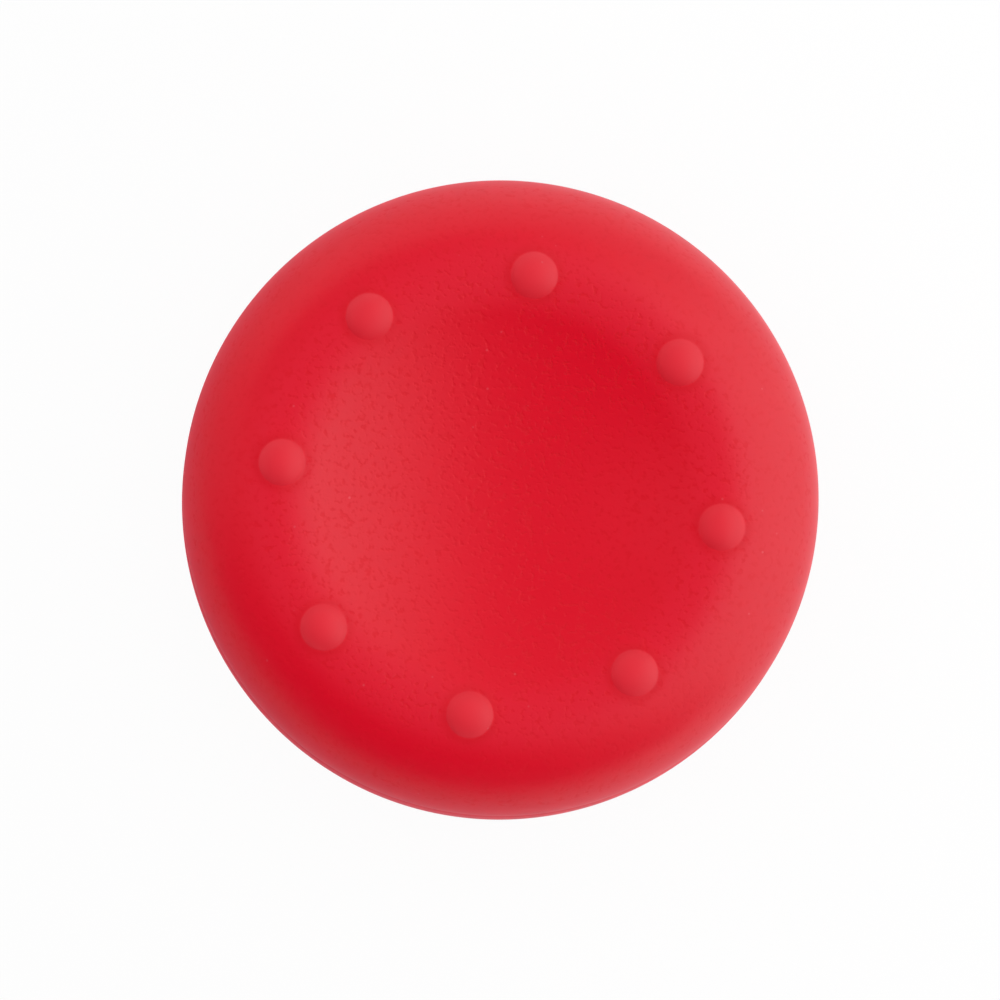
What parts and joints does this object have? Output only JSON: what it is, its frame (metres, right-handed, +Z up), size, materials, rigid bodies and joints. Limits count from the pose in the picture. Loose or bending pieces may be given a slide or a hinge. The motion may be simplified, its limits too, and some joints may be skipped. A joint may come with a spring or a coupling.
{
  "type": "controller thumb grip",
  "caption": "Round silicone cap for a game controller's thumb stick, with a concave top ringed by small nubs, a hollow for the stick head and an inward lip.",
  "frame": {"origin": "middle of the flat rim of the mouth, which the cap stands on", "axes": "+Z up through the middle of the finger dish; the nubs stand round it, the first one 81.65 degrees from +X"},
  "size_m": [0.021, 0.021, 0.0081],
  "materials": {
    "silicone": "matte"
  },
  "bodies": {
    "root": {"grip_cap": "silicone"}
  },
  "joints": []
}
